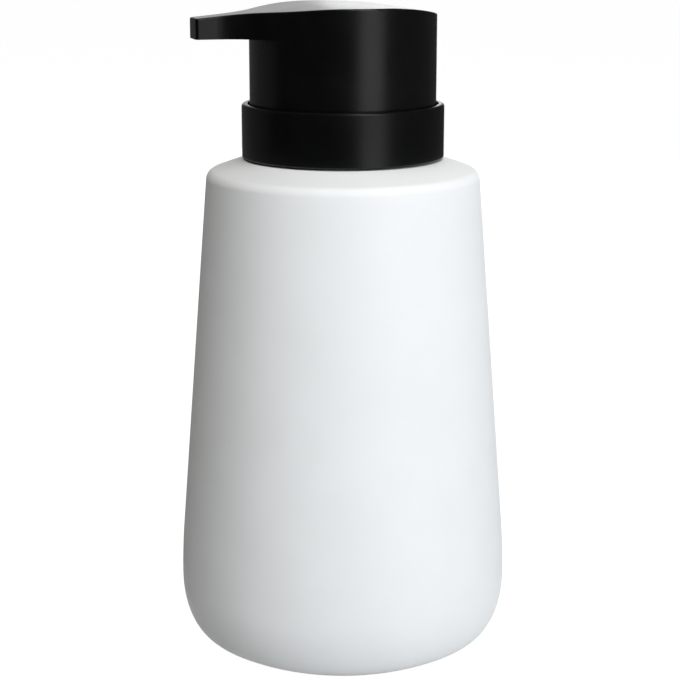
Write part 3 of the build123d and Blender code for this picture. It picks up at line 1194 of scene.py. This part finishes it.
@dataclass
class Studio:
    """Pale floor, white surroundings, camera, lamps, and cards that keep the plastic black.

    Its sizes are in metres.
    """

    camera_turn: float = -15.0
    camera_distance: float = 0.430
    camera_height: float = 0.180
    aim_height: float = 0.0778
    aim_aside: float = -0.0007
    lens: float = 94.85  # mm
    sensor: float = 36.0  # mm
    nearest: float = 0.01
    farthest: float = 50.0
    floor_radius: float = 6.0
    floor_steps: int = 96
    floor_paint: Colour = (0.43, 0.43, 0.43)
    floor_shade: Colour = (0.14, 0.14, 0.14)  # keeps the faint shadow in the floor that is seen
    floor_glow: float = 0.985
    ambient: float = 0.03
    ambient_colour: Colour = (1.0, 0.985, 0.965)
    background: float = 1.0
    card_radius: float = 0.85
    card_foot: float = 0.001
    card_height: float = 0.9
    apron_radius: float = 0.07
    roof_radius: float = 0.01
    roof_height: float = 1.3
    behind_height: float = 0.45
    above_foot: float = 0.6
    above_radius: float = 0.3
    above_height: float = 1.2
    lamp_aim: float = 0.08
    lamps: tuple[SoftBox, ...] = (
        SoftBox(
            "key_light", azimuth=29, elevation=5, distance=0.85, width=0.55, height=0.8,
            watts=8.05, colour=(0.915, 0.965, 1.0),
        ),
        SoftBox(
            "front_fill", azimuth=-20, elevation=71, distance=0.9, width=0.9, height=0.6,
            watts=5.4, colour=(1.0, 0.99, 0.97),
        ),
        SoftBox(
            "right_fill", azimuth=108, elevation=8, distance=0.85, width=0.8, height=0.8,
            watts=2.7, colour=(0.93, 0.97, 1.0),
        ),
        SoftBox(
            "back_fill", azimuth=165, elevation=10, distance=0.9, width=0.8, height=0.8, watts=7.5
        ),
    )

    def cards(self) -> tuple[Card, ...]:
        """Lay out three dark cards, with an apron and a sloping roof, and two white ones.

        Returns:
            The cards.
        """
        foot, top = (self.card_radius, self.card_foot), (self.card_radius, self.card_height)
        roof = (self.roof_radius, self.roof_height)
        wrap = ((self.apron_radius, self.card_foot), foot, top, roof)
        upright = (foot, (self.card_radius, self.behind_height))
        edge = (self.above_radius, self.above_height)
        leaning = ((self.card_radius, self.above_foot), top, edge)
        return (
            Card("dark_card_front", start=-90, end=20.5, glow=0.02, line=wrap),
            Card("dark_card_left", start=-166, end=-90, glow=0.1, line=wrap),
            Card("dark_card_right", start=48.5, end=166, glow=0.06, line=wrap),
            Card("white_card_behind", start=172, end=181, glow=2.4, line=upright),
            Card("white_card_above", start=20.5, end=48.5, glow=3.0, line=leaning),
        )

    def seen(self, tree: bpy.types.NodeTree) -> bpy.types.NodeSocket:
        """Tell rays that show the background from rays that light things.

        Args:
            tree: the node tree to add to.

        Returns:
            1 for camera, glossy and transmission rays, else 0.
        """
        path = tree.nodes.new("ShaderNodeLightPath")
        total = path.outputs["Is Camera Ray"]
        for name in ("Is Glossy Ray", "Is Transmission Ray"):
            both = tree.nodes.new("ShaderNodeMath")
            both.operation = "MAXIMUM"
            tree.links.new(total, both.inputs[0])
            tree.links.new(path.outputs[name], both.inputs[1])
            total = both.outputs["Value"]
        return total

    def choose(
        self, tree: bpy.types.NodeTree, hidden: bpy.types.Node, shown: bpy.types.Node, out: str
    ) -> None:
        """Light things by one shader and show another, and end the tree.

        Args:
            tree: the node tree to add to.
            hidden: the shader that lights things.
            shown: the shader that is seen as the background.
            out: Blender's type name of the tree's output node.
        """
        choice = tree.nodes.new("ShaderNodeMixShader")
        end = tree.nodes.new(out)
        tree.links.new(self.seen(tree), choice.inputs["Fac"])
        tree.links.new(hidden.outputs[0], choice.inputs[1])
        tree.links.new(shown.outputs[0], choice.inputs[2])
        tree.links.new(choice.outputs[0], end.inputs["Surface"])

    def world(self) -> None:
        """Surround the scene with white that lights it only dimly."""
        world = bpy.data.worlds.new("white_surround")
        bpy.context.scene.world = world
        tree = emptied(world)
        dim = tree.nodes.new("ShaderNodeBackground")
        dim.inputs["Color"].default_value = (*self.ambient_colour, 1)
        dim.inputs["Strength"].default_value = self.ambient
        white = tree.nodes.new("ShaderNodeBackground")
        white.inputs["Color"].default_value = (1, 1, 1, 1)
        white.inputs["Strength"].default_value = self.background
        self.choose(tree, dim, white, "ShaderNodeOutputWorld")

    def floor(self) -> None:
        """Lay a plain pale floor that keeps the dispenser's faint shadow."""
        mesh = bmesh.new()
        bmesh.ops.create_circle(
            mesh, cap_ends=True, radius=self.floor_radius, segments=self.floor_steps
        )
        floor = finished("studio_floor", mesh)
        material = bpy.data.materials.new("pale_floor")
        tree = emptied(material)
        paint = tree.nodes.new("ShaderNodeBsdfDiffuse")
        paint.inputs["Color"].default_value = (*self.floor_paint, 1)
        shade = tree.nodes.new("ShaderNodeBsdfDiffuse")
        shade.inputs["Color"].default_value = (*self.floor_shade, 1)
        glow = tree.nodes.new("ShaderNodeEmission")
        glow.inputs["Strength"].default_value = self.floor_glow
        lit = tree.nodes.new("ShaderNodeAddShader")
        tree.links.new(shade.outputs[0], lit.inputs[0])
        tree.links.new(glow.outputs[0], lit.inputs[1])
        self.choose(tree, paint, lit, "ShaderNodeOutputMaterial")
        dress(floor, material)

    def camera(self) -> None:
        """Stand the camera a little to the left of square on, looking gently down."""
        data = bpy.data.cameras.new("studio_camera")
        data.lens = self.lens
        data.sensor_width = self.sensor
        data.clip_start, data.clip_end = self.nearest, self.farthest
        camera = bpy.data.objects.new("studio_camera", data)
        bpy.context.scene.collection.objects.link(camera)
        turn = math.radians(self.camera_turn)
        camera.location = (
            math.sin(turn) * self.camera_distance,
            -math.cos(turn) * self.camera_distance,
            self.camera_height,
        )
        right = Vector((math.cos(turn), math.sin(turn), 0))
        aim = Vector((0, 0, self.aim_height)) + right * self.aim_aside
        camera.rotation_euler = (aim - camera.location).to_track_quat("-Z", "Y").to_euler()
        bpy.context.scene.camera = camera

    def build(self) -> None:
        """Set up the whole studio."""
        bpy.context.scene.view_settings.view_transform = "Standard"
        self.camera()
        self.world()
        self.floor()
        for card in self.cards():
            card.build(self.camera_turn)
        for lamp in self.lamps:
            lamp.build(Vector((0, 0, self.lamp_aim)), self.camera_turn)
        log.info("studio is set")


def main() -> None:
    """Build the studio and every sub-assembly in order."""
    logging.basicConfig(level=logging.INFO, format="%(name)s: %(message)s")
    Studio().build()
    for part in (CeramicBottle(), ScrewNeck(), PumpEngine(), Collar(), PumpHead()):
        part.build()
        log.info("%s is done", type(part).__name__)


if __name__ == "__main__":
    main()
